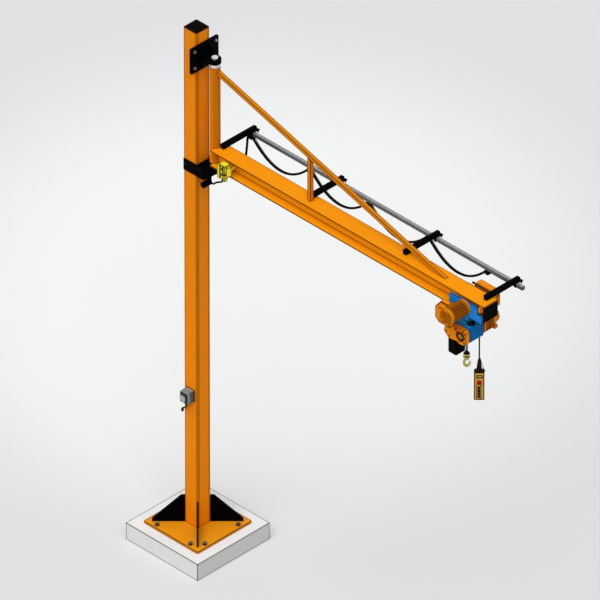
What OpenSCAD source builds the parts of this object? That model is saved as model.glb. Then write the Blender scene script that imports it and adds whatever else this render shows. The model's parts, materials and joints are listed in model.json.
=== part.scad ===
// Column-mounted jib crane: fixed square column on a foundation block, a swinging
// jib with a tie bar, a power-fed trolley hoist and its sliding supply cable.
// Millimetres, +Z up. Origin: centre of the foundation block's underside.
// The jib points along +X; the supply cable's rail lies on its +Y side.

/* [Foundation] */
// Side of the square foundation block
block_w = 820; // [780:10:1000]
// Height of the foundation block
block_h = 160; // [140:10:300]
// Side of the square base plate
plate_w = 620; // [600:10:700]
// Thickness of the base plate
plate_t = 20; // [16:1:30]
// Corner radius of the base plate
plate_r = 14; // [4:1:30]
// Distance of an anchor from the nearest edge of the plate
anchor_edge = 38; // [34:1:46]
// Distance of an anchor from the plate's next edge
anchor_inset = 120; // [110:1:150]
// Diameter of the anchor rods
anchor_d = 20; // [16:2:24]
// Depth of the anchor rods in the block
anchor_depth = 130; // [80:5:135]

/* [Column] */
// Width of the square column
column_w = 150; // [140:5:160]
// Wall of the column
column_t = 6; // [5:1:9]
// Outer corner radius of the column
column_r = 12; // [10:1:18]
// Height of the column above the base plate
column_h = 4852; // [4800:2:5200]
// Height of the corner gussets
gusset_h = 260; // [200:10:320]
// Distance of a gusset's toe from the column axis, along X and along Y
gusset_reach = 261; // [220:1:280]
// Height of a gusset's toe
gusset_toe = 28; // [15:1:40]
// Thickness of the gussets
gusset_t = 14; // [8:1:20]

/* [Bearings] */
// Distance of the jib's pivot axis from the column axis
pivot_x = 209; // [200:1:225]
// Diameter of the pivot pins
pin_d = 40; // [30:1:46]
// Width of the upper bracket plate
upper_w = 306; // [280:2:330]
// Height of the upper bracket plate
upper_h = 240; // [200:5:280]
// Drop of the upper bracket plate's lower edge below the column's top
upper_drop = 348; // [300:2:380]
// Radius of the brackets' round noses
nose_r = 52; // [44:1:56]
// Height of the lower bearing between its bracket and the beam
bearing_h = 65; // [50:1:80]
// Height of the lower bracket's side plates
lower_h = 106; // [90:1:120]
// Thickness of the lower bracket's plates
lower_t = 10; // [8:1:12]

/* [Jib] */
// Height of the beam's top above the base plate
beam_top_z = 3800; // [3790:1:3815]
// Depth of the beam
beam_h = 152; // [145:1:158]
// Width of the beam's flanges
beam_b = 160; // [140:2:164]
// Thickness of the beam's web
web_t = 6; // [5:0.5:9]
// Thickness of the beam's flanges
flange_t = 9; // [7:0.5:12]
// Fillet between web and flange
fillet_r = 15; // [8:1:18]
// Distance of the beam's tip from the column axis
tip_x = 3305; // [3280:5:3400]
// Outer diameter of the jib's upright tube
mast_d = 88.9; // [76:0.1:95]
// Wall of the jib's upright tube
mast_t = 6.3; // [4:0.1:8]
// Drop of the upright tube's top below the column's top
mast_drop = 279; // [270:1:310]
// Width of the tie bar and of its strut
tie_w = 35; // [30:1:40]
// Wall of the tie bar
tie_t = 3; // [2:0.5:4]
// Drop of the tie bar's centre at the upright tube below the column's top
tie_drop = 326; // [316:1:360]
// Distance of the tie bar's foot on the beam from the column axis
tie_foot_x = 2755; // [2600:5:2850]
// Distance of the strut from the column axis
strut_x = 1285; // [1000:5:1600]
// Distance of the terminal box from the column axis
terminal_x = 386; // [380:2:420]

/* [Supply rail] */
// Distance of the supply rail from the beam's middle
rail_y = 349; // [330:1:380]
// Width of the supply rail
rail_w = 30; // [28:1:32]
// Height of the supply rail
rail_h = 32; // [30:1:34]
// Wall of the supply rail
rail_t = 2; // [1.5:0.5:3]
// Slot in the underside of the supply rail
rail_slot = 11; // [9:1:13]
// Width of the rail's support arms
arm_w = 38; // [32:1:44]
// Height of the rail's support arms
arm_h = 46; // [36:1:52]
// Reach of the support arms beyond the rail's middle
arm_over = 30; // [26:1:45]
// Distance of the fixed end of the supply cable from the column axis
feed_x = 265; // [262:1:270]
// Distances of the second and third support arm from the first
arm_2 = 987; // [940:1:1000]
arm_3 = 2064; // [2000:1:2100]
// Distance of the last support arm from the beam's tip
arm_4 = 83; // [70:1:100]
// Spacing of the cable trolleys with the hoist at the tip
trolley_pitch = 664; // [640:1:668]
// Diameter of the supply cable
feed_d = 20; // [14:1:20]
// Diameter of the thin control wire beside the supply cable
wire_d = 8; // [6:1:10]
// Sag of the supply cable's loops
feed_sag = 160; // [80:5:220]

/* [Trolley and hoist] */
// Length of the trolley's side plates
side_l = 363; // [340:1:370]
// Distance of the trolley's middle from the column axis
hoist_x = 3105; // [3095:1:3115]
// Thickness of the trolley's side plates
side_t = 12; // [8:1:14]
// Gap between a flange edge and a side plate
side_gap = 8; // [6:1:10]
// Diameter of the travel motor
motor_d = 134; // [110:2:140]
// Length of the travel motor
motor_l = 210; // [180:5:250]
// Drop of the hoist body's underside below the beam
body_drop = 271; // [258:1:278]
// Height of the hoist body
body_h = 140; // [120:5:150]
// Width of the hoist body across the beam
body_w = 154; // [140:2:160]
// Wire diameter of the load chain
chain_d = 7; // [6:0.5:8]
// Drop of the load hook's lowest point below the hoist body
hook_drop = 326; // [300:2:400]

/* [Pendant] */
// Drop of the pendant's lowest point below the hoist body
pendant_drop = 626; // [500:2:1000]
// Length of the pendant's housing
pendant_l = 262; // [242:2:300]
// Diameter of the pendant's cable
pendant_cable_d = 12; // [9:1:14]

/* [Isolator] */
// Height of the isolator's middle above the base plate
isolator_z = 1296; // [1000:1:1600]
// Width of the isolator's housing
isolator_w = 84; // [70:1:100]
// Height of the isolator's housing
isolator_h = 100; // [90:1:130]
// Depth of the isolator's housing
isolator_d = 104; // [90:1:120]

/* [Hidden] */
$fn = 48;

// Clearance between pieces that seat in each other
fit = 0.3;
// Radial clearance of a pin in its bush
running = 0.05;
// Height of the base plate's top, from which heights are named
base_z = block_h + plate_t;
// Thickness of the nuts and of the washers
nut_h = 16;
washer_h = 3;

anchor_far = plate_w/2 - anchor_edge;
anchor_near = plate_w/2 - anchor_inset;

column_top = base_z + column_h;
upper_front = column_w/2 + 22;
upper_low = column_top - upper_drop;
upper_high = upper_low + upper_h;
lug_low = upper_low + 106;
lug_high = lug_low + 38;
upper_plate_t = 11;
upper_bolt_y = upper_w/2 - 33;
upper_bolt_in = 38;

beam_high = base_z + beam_top_z;
beam_low = beam_high - beam_h;
lower_high = beam_low - bearing_h;
lower_low = lower_high - lower_h;
lower_side = column_w/2 + fit;
pin_low = lower_high - 34;
swivel_x = pivot_x - 65;
swivel_z = lower_low - 61;
swivel_d = 54;

beam_x0 = pivot_x + 19;
end_plate_t = 8;
mast_r = mast_d/2;
mast_high = column_top - mast_drop;
bush_l = 60;

tie_x0 = pivot_x + mast_r;
tie_z0 = column_top - tie_drop;
tie_slope = (tie_z0 - beam_high)/(tie_foot_x - tie_x0);
tie_half = tie_w/2*sqrt(1 + tie_slope*tie_slope);

// X of each support arm's near side, and where the arm starts across the beam
arm_starts = [
  [feed_x, 4], [feed_x + arm_2, tie_w/2 + 3], [feed_x + arm_3, -6], [tip_x - arm_4, 2]
];
arm_end = rail_y + arm_over;
rail_low = beam_high - rail_h;
rail_x0 = feed_x - 10;
rail_x1 = tip_x + 21;

// Rail clamps: length and thickness
clamp_l = 24;
clamp_t = 4;
// Cable trolleys: the block's top and thickness, then the saddle that keeps the cable under it
block_top = rail_low - clamp_t - fit - 5;
block_t = 3;
saddle_r = 25;
saddle_w = feed_d + 8;
cable_z = block_top - block_t - 2 - feed_d/2;
saddle_z = cable_z - feed_d/2 - 1 - saddle_r;
wire_y = rail_y + saddle_w/2 + wire_d/2 + 3;
shoe_w = saddle_w + wire_d + 6;

hoist_x0 = hoist_x - 164;
hoist_x1 = hoist_x0 + side_l;
side_y = beam_b/2 + side_gap;
side_out = side_y + side_t;
side_high = beam_high - 16;
body_low = beam_low - body_drop;
body_high = body_low + body_h;
body_x0 = hoist_x - 155;
cover_t = 49;
body_x1 = hoist_x + 48;
chain_x = hoist_x - 66;
link_l = 21;
link_in = chain_d/2 + 1.5;
hook_low = body_low - hook_drop;
block_low = hook_low + 88;
block_high = block_low + 62;

pendant_x = hoist_x + 6;
pendant_y = body_w/2 - 7;
pendant_low = body_low - pendant_drop;
pendant_high = pendant_low + pendant_l;
boot_l = 114;
pendant_t = 58;

isolator_front = column_w/2 + isolator_d;
isolator_mid = base_z + isolator_z;

paint = [0.89, 0.49, 0.06];
blue = [0.02, 0.40, 0.80];
black = [0.05, 0.05, 0.06];
steel = [0.72, 0.73, 0.75];
grey = [0.45, 0.46, 0.48];
yellow = [0.85, 0.78, 0.12];
concrete = [0.86, 0.86, 0.85];

// A square with round corners
module round_square(w, r) {
  square([w, w - 2*r], center = true);
  square([w - 2*r, w], center = true);
  for (x = [-1, 1], y = [-1, 1]) translate([x*(w/2 - r), y*(w/2 - r)]) circle(r);
}

// A rectangle with round corners, centred
module round_box(w, h, r) {
  square([w, h - 2*r], center = true);
  square([w - 2*r, h], center = true);
  for (x = [-1, 1], y = [-1, 1]) translate([x*(w/2 - r), y*(h/2 - r)]) circle(r);
}

// Draws a flat profile given as X and Z, then gives it a thickness along Y
module along_y(y0, y1) {
  translate([0, y1, 0]) rotate([90, 0, 0]) linear_extrude(y1 - y0) children();
}

// Draws a flat profile given as Y and Z, then gives it a length along X
module along_x(x0, x1) {
  translate([x0, 0, 0]) rotate([90, 0, 90]) linear_extrude(x1 - x0) children();
}

// A rod or disc along Y
module rod_y(x, z, d, y0, y1) {
  translate([x, y1, z]) rotate([90, 0, 0]) cylinder(d = d, h = y1 - y0);
}

// A rod or disc along X
module rod_x(y, z, d, x0, x1) {
  translate([x0, y, z]) rotate([0, 90, 0]) cylinder(d = d, h = x1 - x0);
}

// A hexagon bolt head or nut, standing on its origin
module hexagon(d, h) {
  cylinder(d = 1.8*d, h = h, $fn = 6);
}

// ---- Foundation and column ----

anchors = [
  for (s = [-1, 1], t = [-1, 1]) each
    [[s*anchor_far, t*anchor_near], [s*anchor_near, t*anchor_far]]
];

module foundation_block() {
  color(concrete) difference() {
    translate([-block_w/2, -block_w/2, 0]) cube([block_w, block_w, block_h]);
    for (a = anchors)
      translate([a[0], a[1], block_h - anchor_depth]) cylinder(d = anchor_d + 2*fit, h = block_h);
  }
}

module base_plate() {
  color(paint) translate([0, 0, block_h]) linear_extrude(plate_t) difference() {
    round_square(plate_w, plate_r);
    for (a = anchors) translate(a) circle(d = anchor_d + 4);
  }
}

module anchor_bolt() {
  translate([0, 0, block_h - anchor_depth])
    cylinder(d = anchor_d, h = anchor_depth + plate_t + washer_h + nut_h + 12);
  translate([0, 0, base_z]) cylinder(d = 2*anchor_d, h = washer_h);
  translate([0, 0, base_z + washer_h]) hexagon(anchor_d, nut_h);
}

module anchor_bolts() {
  color(steel) for (a = anchors) translate(a) anchor_bolt();
}

module column() {
  color(paint) translate([0, 0, base_z]) linear_extrude(column_h) difference() {
    round_square(column_w, column_r);
    round_square(column_w - 2*column_t, column_r - column_t);
  }
}

module column_cap() {
  plug_w = column_w - 2*column_t - 2*fit;
  color(black) translate([0, 0, column_top - 42]) linear_extrude(40)
    round_square(plug_w, column_r - column_t - fit);
}

// A gusset stands on the base plate against a corner of the column
module gusset() {
  start = (column_w/2 - column_r)*sqrt(2) + column_r;
  toe = gusset_reach*sqrt(2);
  along_y(-gusset_t/2, gusset_t/2) polygon([
    [start, base_z], [toe, base_z], [toe, base_z + gusset_toe],
    [start + 32, base_z + gusset_h], [start, base_z + gusset_h]
  ]);
}

module gussets() {
  color(black) for (a = [45:90:315]) rotate([0, 0, a]) gusset();
}

// ---- Isolating switch on the column's side ----

isolator_shell = 58;
isolator_cover = 22;
// Route of the short inlet cable: X, distance from the column, drop below the box
inlet_route = [
  [-6, 30, 10], [-8, 29, 34], [-22, 26, 64], [-44, 21, 92], [-66, 15, 112], [-80, 11, 122], [-86, 9, 134]
];

module isolator_box() {
  y0 = -column_w/2 - isolator_shell;
  low = isolator_mid - isolator_h/2;
  color(grey) difference() {
    union() {
      translate([-isolator_w/2, y0, low]) cube([isolator_w, isolator_shell, isolator_h]);
      translate([-isolator_w/2 - 6, -column_w/2 - 5, low - 5]) cube([isolator_w + 12, 5, isolator_h + 10]);
      along_y(y0 - isolator_cover, y0) translate([0, isolator_mid]) round_box(isolator_w, isolator_h, 6);
      along_y(y0 - isolator_cover - 4, y0 - isolator_cover) translate([0, isolator_mid])
        round_box(isolator_w - 16, isolator_h - 20, 8);
    }
    for (s = [-1, 1], y = [16, 30, 44])
      translate([s*isolator_w/2 - 3, -column_w/2 - y, low - 1]) cube([6, 5, isolator_h + 2]);
    rod_y(0, isolator_mid, 30, y0 - isolator_cover - 5, y0);
  }
  color(black) {
    translate([-6, -column_w/2 - 30, low - 16]) cylinder(d = 28, h = 16);
    tube([for (p = inlet_route) [p[0], -column_w/2 - p[1], low - p[2]]], 14, [1, 1, 0.2]);
    translate([-column_w/2 - 11, -column_w/2 - 9, low - 154]) cylinder(d = 22, h = 24);
  }
}

module isolator_handle() {
  y0 = -column_w/2 - isolator_shell;
  color(steel) {
    rod_y(0, isolator_mid, 28, -isolator_front + 12, y0 - fit);
    rod_y(0, isolator_mid, 56, -isolator_front + 7, y0 - isolator_cover - 5);
    translate([0, 0, isolator_mid]) rotate([0, 45, 0])
      along_y(-isolator_front, -isolator_front + 12) round_box(66, 20, 8);
  }
}

// ---- Upper bearing ----

upper_bolts_at = [
  for (y = [-upper_bolt_y, upper_bolt_y], z = [upper_low + upper_bolt_in + 12, upper_high - upper_bolt_in + 6])
    [y, z]
];

module upper_plate(x0, x1) {
  along_x(x0, x1) difference() {
    translate([0, (upper_low + upper_high)/2]) round_box(upper_w, upper_h, 6);
    for (b = upper_bolts_at) translate(b) circle(d = 18);
  }
}

module upper_mounting_plate() {
  color(black) upper_plate(column_w/2, upper_front - upper_plate_t);
}

module upper_bracket() {
  color(black) {
    upper_plate(upper_front - upper_plate_t, upper_front);
    difference() {
      union() {
        translate([upper_front, -nose_r, lug_low]) cube([pivot_x - upper_front, 2*nose_r, lug_high - lug_low]);
        translate([pivot_x, 0, lug_low]) cylinder(r = nose_r, h = lug_high - lug_low);
      }
      translate([pivot_x, 0, lug_low - 1]) cylinder(r = pin_d/2 + running, h = lug_high - lug_low + 2);
    }
    for (s = [-1, 1]) {
      along_y(s*(nose_r - 6) - 6, s*(nose_r - 6) + 6) polygon([
        [upper_front, lug_high], [pivot_x - 34, lug_high],
        [upper_front + 30, upper_high - 50], [upper_front, upper_high - 34]
      ]);
      along_y(s*(nose_r - 12) - 6, s*(nose_r - 12) + 6) polygon([
        [upper_front, lug_low], [pivot_x - 60, lug_low],
        [upper_front + 20, upper_low + 36], [upper_front, upper_low + 24]
      ]);
    }
    rod_x(0, lug_low + 16, 16, pivot_x + nose_r - 4, pivot_x + nose_r + 8);
  }
}

module upper_bolts() {
  color(steel) for (b = upper_bolts_at) {
    translate([0, b[0], b[1]]) rotate([0, 90, 0]) {
      translate([0, 0, column_w/2 - 15]) cylinder(d = 16, h = upper_front - column_w/2 + 15 + 8);
      translate([0, 0, upper_front]) cylinder(d = 34, h = washer_h);
      translate([0, 0, upper_front + washer_h]) hexagon(16, 11);
      translate([0, 0, column_w/2 - 13]) hexagon(16, 13);
    }
  }
}

module upper_pin() {
  color(steel) translate([pivot_x, 0, 0]) {
    translate([0, 0, mast_high - bush_l + 10]) cylinder(d = pin_d, h = lug_high - mast_high + bush_l - 10);
    translate([0, 0, lug_high]) cylinder(d = pin_d + 14, h = 12);
  }
}

// ---- Lower bearing ----

// Plan of the lower bracket: cheeks that take the column, tapering to a round nose
module lower_outline() {
  out = lower_side + lower_t;
  back = -column_w/2 + 9;
  front = column_w/2 + 77;
  nose = nose_r - 10;
  translate([pivot_x, 0]) circle(r = nose);
  polygon([
    [column_w/2 + fit, -out], [front, -out], [pivot_x + 14, -nose + 2],
    [pivot_x + 14, nose - 2], [front, out], [column_w/2 + fit, out]
  ]);
  for (s = [-1, 1]) translate([back, s*(lower_side + lower_t/2) - lower_t/2])
    square([column_w/2 - back + fit + 1, lower_t]);
}

// Side view of the lower bracket, cut away on a slant under its nose
module lower_profile() {
  front = pivot_x + nose_r;
  polygon([
    [-column_w/2, lower_low], [column_w/2 + 89, lower_low], [front - 16, pin_low - 2],
    [front, pin_low - 2], [front, lower_high], [-column_w/2, lower_high]
  ]);
}

module lower_bracket() {
  color(black) difference() {
    intersection() {
      translate([0, 0, lower_low]) linear_extrude(lower_h) lower_outline();
      along_y(-column_w, column_w) lower_profile();
    }
    translate([column_w/2 - 1, -column_w/2 + 8, lower_low + lower_t])
      cube([70, column_w - 16, lower_h - 2*lower_t]);
    translate([pivot_x, 0, pin_low]) cylinder(r = pin_d/2 + running, h = lower_h);
  }
}

module lower_pin() {
  color(steel) translate([pivot_x, 0, pin_low]) cylinder(d = pin_d, h = beam_low + bush_l - 10 - pin_low);
}

module lower_bearing() {
  color(black) translate([pivot_x, 0, 0]) difference() {
    translate([0, 0, lower_high]) cylinder(d = 84, h = beam_low - fit - lower_high);
    translate([0, 0, lower_high - 1]) cylinder(r = pin_d/2 + running, h = beam_low);
  }
}

// Round cable outlet under the lower bracket
module swivel_gland() {
  color(black) {
    translate([swivel_x, 0, swivel_z]) cylinder(d = 36, h = lower_low - swivel_z);
    rod_y(swivel_x, swivel_z, swivel_d, -76, 5);
    rod_y(swivel_x, swivel_z, swivel_d - 14, -82, -76);
  }
}

// ---- Jib ----

module jib_mast() {
  color(paint) translate([pivot_x, 0, 0]) difference() {
    translate([0, 0, beam_low]) cylinder(r = mast_r, h = mast_high - beam_low);
    translate([0, 0, beam_low + bush_l]) cylinder(r = mast_r - mast_t, h = mast_high - beam_low - 2*bush_l);
    translate([0, 0, beam_low - 1]) cylinder(r = pin_d/2 + running, h = bush_l + 2);
    translate([0, 0, mast_high - bush_l - 1]) cylinder(r = pin_d/2 + running, h = bush_l + 2);
  }
}

module upper_collar() {
  color(steel) translate([pivot_x, 0, mast_high]) difference() {
    cylinder(d = 84, h = lug_low - mast_high - 1);
    translate([0, 0, -1]) cylinder(r = pin_d/2 + running, h = lug_low - mast_high + 2);
  }
}

// A wide-flange beam's section, standing on its origin
module beam_section() {
  web_h = beam_h - 2*flange_t;
  translate([-beam_b/2, 0]) square([beam_b, flange_t]);
  translate([-beam_b/2, beam_h - flange_t]) square([beam_b, flange_t]);
  translate([-web_t/2, flange_t]) square([web_t, web_h]);
  for (s = [-1, 1], t = [-1, 1])
    translate([s*web_t/2, beam_h/2 + t*web_h/2]) difference() {
      translate([s > 0 ? 0 : -fillet_r, t > 0 ? -fillet_r : 0]) square(fillet_r);
      translate([s*fillet_r, -t*fillet_r]) circle(fillet_r);
    }
}

module jib_beam() {
  color(paint) difference() {
    union() {
      translate([0, 0, beam_low]) along_x(beam_x0, tip_x - end_plate_t) beam_section();
      translate([tip_x - end_plate_t, -beam_b/2, beam_high - flange_t]) cube([end_plate_t, beam_b, flange_t]);
    }
    translate([pivot_x, 0, beam_low - 1]) cylinder(r = mast_r + fit, h = beam_h + 2);
  }
}

module beam_end_plate() {
  color(black) translate([tip_x - end_plate_t, -beam_b/2 + 2, beam_low])
    cube([end_plate_t, beam_b - 4, beam_h - flange_t]);
}

// The tie bar's side view, with its half height as h
module tie_outline(h) {
  polygon([
    [tie_x0 - 8, tie_z0 + 8*tie_slope - h], [tie_foot_x - h/tie_slope, beam_high],
    [tie_foot_x + h/tie_slope, beam_high], [tie_x0 - 8, tie_z0 + 8*tie_slope + h]
  ]);
}

module tie_bar() {
  inner = tie_half*(tie_w - 2*tie_t)/tie_w;
  color(paint) difference() {
    along_y(-tie_w/2, tie_w/2) tie_outline(tie_half);
    along_y(-tie_w/2 + tie_t, tie_w/2 - tie_t) tie_outline(inner);
    translate([pivot_x, 0, beam_high]) cylinder(r = mast_r + fit, h = mast_high);
  }
}

module tie_strut() {
  under = function(x) tie_z0 - tie_slope*(x - tie_x0) - tie_half;
  x0 = strut_x - tie_w/2;
  x1 = strut_x + tie_w/2;
  color(paint) difference() {
    along_y(-tie_w/2, tie_w/2) polygon([[x0, beam_high], [x1, beam_high], [x1, under(x1)], [x0, under(x0)]]);
    along_y(-tie_w/2 + tie_t, tie_w/2 - tie_t) polygon([
      [x0 + tie_t, beam_high - 1], [x1 - tie_t, beam_high - 1],
      [x1 - tie_t, under(x1 - tie_t) + 1], [x0 + tie_t, under(x0 + tie_t) + 1]
    ]);
  }
}

module travel_stops() {
  stop_t = 14;
  reach = wheel_x + wheel_d/2 + 6;
  color(black) translate([hoist_x - travel - reach - stop_t, web_t/2 + fillet_r, beam_low + flange_t])
    cube([stop_t, beam_b/2 - 12 - web_t/2 - fillet_r, 60]);
  color(paint) for (s = [-1, 1])
    translate([tip_x - end_plate_t - 35, s*(beam_b/2) - 20, beam_high - flange_t - 49]) cube([28, 40, 49]);
}

// ---- Supply rail and its cable ----

module rail_section() {
  difference() {
    translate([-rail_w/2, 0]) square([rail_w, rail_h]);
    translate([-rail_w/2 + rail_t, rail_t]) square([rail_w - 2*rail_t, rail_h - 2*rail_t]);
    translate([-rail_slot/2, -1]) square([rail_slot, rail_t + 2]);
    for (s = [-1, 1]) translate([s*6 - 1.5, rail_h - 0.8]) square([3, 1]);
  }
}

module supply_rail() {
  stop_w = rail_w - 2*rail_t;
  color(steel) translate([0, rail_y, rail_low]) {
    along_x(rail_x0, rail_x1) rail_section();
    for (x = [rail_x0 + 3, rail_x1 - 15])
      translate([x, -stop_w/2, rail_t]) cube([12, stop_w, rail_h - 2*rail_t]);
  }
}

// A hat-shaped clamp that hangs the rail under an arm
module rail_clamp() {
  out = rail_w/2 + clamp_t + fit;
  difference() {
    along_x(0, clamp_l) union() {
      translate([-out, -rail_h - clamp_t - fit]) square([2*out, rail_h + clamp_t + fit]);
      translate([-rail_w/2 - 26, -clamp_t]) square([rail_w + 66, clamp_t]);
      translate([rail_w/2 + 34, -26]) square([clamp_t + 2, 34]);
    }
    along_x(-1, clamp_l + 1) union() {
      translate([-rail_w/2 - fit, -rail_h - fit]) square([rail_w + 2*fit, rail_h + fit]);
      translate([-rail_slot/2 - 2, -rail_h - clamp_t - 1]) square([rail_slot + 4, rail_h]);
    }
  }
  for (s = [-1, 1]) translate([clamp_l/2, s*(rail_w/2 + 15), -clamp_t - 4]) cylinder(d = 10, h = 5);
  rod_y(clamp_l/2, -12, 12, rail_w/2 + 40, rail_w/2 + 58);
}

module support_arms() {
  color(black) for (a = arm_starts) translate([a[0], 0, beam_high]) {
    along_y(a[1], arm_end) translate([arm_w/2, arm_h/2]) difference() {
      round_box(arm_w, arm_h, 7);
      round_box(arm_w - 6, arm_h - 6, 4);
    }
    along_y(a[1] + 3, a[1] + 6) translate([arm_w/2, arm_h/2]) round_box(arm_w - 4, arm_h - 4, 5);
    along_y(arm_end - 6, arm_end - 3) translate([arm_w/2, arm_h/2]) round_box(arm_w - 4, arm_h - 4, 5);
    translate([arm_w - clamp_l - 2, rail_y, 0]) rail_clamp();
  }
}

// A cable saddle: a half-round shoe, two cheeks and the block that carries them
module saddle(block_l) {
  translate([0, rail_y, 0]) {
    difference() {
      rod_y(0, saddle_z, 2*saddle_r, -saddle_w/2, shoe_w - saddle_w/2);
      translate([-saddle_r - 1, -saddle_w, saddle_z - 2*saddle_r])
        cube([2*saddle_r + 2, 3*saddle_w, 2*saddle_r + 15]);
    }
    translate([-12, shoe_w - saddle_w/2 - 2, saddle_z + 16]) cube([24, 2, saddle_r + wire_d - 14]);
    for (s = [-1, 1])
      translate([-12, s*(feed_d/2 + 2) - 1.5, saddle_z + 16]) cube([24, 3, block_top - 1 - saddle_z - 16]);
    translate([-block_l/2, -saddle_w/2, block_top - block_t]) cube([block_l, saddle_w, block_t]);
  }
}

// A trolley that rolls inside the rail and carries a saddle
module cable_trolley() {
  roller_z = rail_low + rail_t + 10 + fit;
  color(black) saddle(40);
  color(steel) translate([0, rail_y, 0]) {
    translate([-24, -2, block_top - 1]) cube([48, 4, rail_low + 10 - block_top + 1]);
    for (x = [-16, 16]) {
      rod_y(x, roller_z, 6, -9, 9);
      for (s = [-1, 1]) rod_y(x, roller_z, 20, s*7.5 - 3, s*7.5 + 3);
    }
  }
}

module cable_trolley_1() { translate([feed_x + trolley_pitch, 0, 0]) cable_trolley(); }
module cable_trolley_2() { translate([feed_x + 2*trolley_pitch, 0, 0]) cable_trolley(); }
module cable_trolley_3() { translate([feed_x + 3*trolley_pitch, 0, 0]) cable_trolley(); }

module towing_trolley() {
  translate([feed_x + 4*trolley_pitch, 0, 0]) cable_trolley();
}

module feed_clamp() {
  color(black) translate([feed_x, 0, 0]) {
    saddle(24);
    translate([-12, rail_y - saddle_w/2, block_top - 1]) cube([24, saddle_w, rail_low - fit - block_top + 1]);
  }
}

// A tube along a route of points, closed at both ends
function unit(v) = v/norm(v);
function heading(p, i) = unit(p[min(i + 1, len(p) - 1)] - p[max(i - 1, 0)]);
module tube(route, d, side, sides = 8) {
  rings = [
    for (i = [0:len(route) - 1])
      let (t = heading(route, i), a = unit(cross(t, side)), b = cross(t, a), r = (is_list(d) ? d[i] : d)/2)
        for (k = [0:sides - 1])
          let (w = 360*(k + 0.5)/sides) route[i] + r*(cos(w)*a + sin(w)*b)
  ];
  last = len(route) - 1;
  polyhedron(rings, concat(
    [[for (k = [0:sides - 1]) k]],
    [[for (k = [0:sides - 1]) last*sides + sides - 1 - k]],
    [for (i = [0:last - 1], k = [0:sides - 1]) let (n = (k + 1) % sides)
      [i*sides + k, (i + 1)*sides + k, (i + 1)*sides + n, i*sides + n]]
  ));
}

// One loop of the supply cable between two saddles, hanging as a parabola
span = trolley_pitch/2;
reach = saddle_r + feed_d/2 + 1;
loop_edge = span - 0.75*reach;
saddle_drop = 0.32*reach;
function loop_z(d) = d < loop_edge
  ? -saddle_drop - feed_sag*(1 - pow(d/loop_edge, 2))
  : -saddle_drop*pow((span - d)/(span - loop_edge), 2);
// Distances along half a loop at which the cable's route has points
half_loop = [0, 11, 22, 36, 65, 105, 155, 210, 270];
loop_points = concat(half_loop, [span], [for (i = [len(half_loop) - 1:-1:1]) trolley_pitch - half_loop[i]]);
function festoon_route(y, z) = concat(
  [for (n = [0:3], x = loop_points) [feed_x + n*trolley_pitch + x, y, z + loop_z(abs(x - span))]],
  [[feed_x + 4*trolley_pitch, y, z]]
);

module festoon_cable() {
  color(black) tube(festoon_route(rail_y, cable_z), feed_d, [0, 1, 0]);
}

module festoon_wire() {
  color(grey) tube(festoon_route(wire_y, saddle_z + saddle_r + wire_d/2), wire_d, [0, 1, 0], 6);
}

// From the rail's fixed end down to the beam's web
lead_route = [
  [-2, 349, 0], [-12, 349, 0], [-25, 349, -8], [-34, 349, -22], [-38, 348, -40], [-39, 345, -75],
  [-36, 338, -115], [-26, 322, -150], [-6, 295, -170], [22, 260, -174], [50, 220, -164],
  [78, 175, -140], [97, 135, -100], [108, 100, -60], [112, 70, -42], [112, 40, -38], [112, 5, -38]
];

module feed_lead() {
  color(black) tube([for (p = lead_route) [feed_x + p[0], p[1], cable_z + p[2]]], feed_d, [1, 1, 0]);
}

module terminal_box() {
  x0 = terminal_x;
  low = beam_low + flange_t;
  y0 = -beam_b/2 - 75;
  high_l = beam_high - flange_t - low;
  color(yellow) {
    translate([x0 + 6, y0 + 8, low + 6]) cube([70, 64, high_l - 14]);
    translate([x0, y0, low]) cube([30, 12, high_l - 2]);
    translate([x0 + 36, y0, low + 52]) cube([26, 12, high_l - 56]);
    translate([x0 + 36, y0 + 3, low]) cube([26, 9, 40]);
    translate([x0 + 68, y0, low - 12]) cube([14, 20, 62]);
    translate([x0 + 68, y0 + 2, low + 60]) cube([14, 20, high_l - 66]);
    rod_y(x0 + 49, low + 100, 18, y0 - 3, y0 + 1);
    translate([x0 + 90, y0 + 44, low + 38]) {
      cylinder(d = 40, h = 62);
      translate([0, 0, 62]) cylinder(d1 = 40, d2 = 30, h = 10);
      translate([-14, -12, 6]) cube([16, 24, 50]);
    }
    translate([x0 + 14, y0 + 70, low + 40]) cube([54, beam_b/2 + 5 - web_t/2, 44]);
    for (x = [24, 60]) translate([x0 + x, y0 + 37, low - 24]) cylinder(d = 30, h = 31);
  }
}

// Route of the slack cable between the lower bracket and the terminal box
slew_route = [
  [swivel_x + 29.5, -5, -232], [184, -7, -230], [200, -12, -222], [222, -23, -202], [248, -36, -176],
  [280, -50, -148],
  [315, -64, -122], [terminal_x - 41, -77, -100], [terminal_x - 14, -90, -78], [terminal_x + 8, -104, -54],
  [terminal_x + 20, -114, -34], [terminal_x + 24, -118, -18]
];
slew_d = 15;

module slew_cable() {
  color(black) tube([for (p = slew_route) [p[0], p[1], beam_low + p[2]]], slew_d, [0.2, 1, 0.3]);
}

// ---- Trolley ----

wheel_d = 76;
wheel_x = 88;
wheel_z = beam_low + flange_t + wheel_d/2 + fit;
travel = 2250;
shaft_z = beam_low - 26;
shaft_d = 24;
axle_d = 20;
axle_in = 9;

// Side view of a trolley plate, with a lobe that takes the hanger shaft
module side_outline(x1, step) {
  low = beam_low - 5;
  polygon([
    [hoist_x0, side_high - 12], [hoist_x0 + 12, side_high], [x1 - step, side_high],
    [x1 - step, side_high - 64], [x1, side_high - 70], [x1, low + 14], [x1 - 14, low],
    [hoist_x + 55, low], [hoist_x + 43, shaft_z - 25], [hoist_x - 43, shaft_z - 25], [hoist_x - 55, low],
    [hoist_x0 + 18, low], [hoist_x0, low + 18]
  ]);
}

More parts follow.
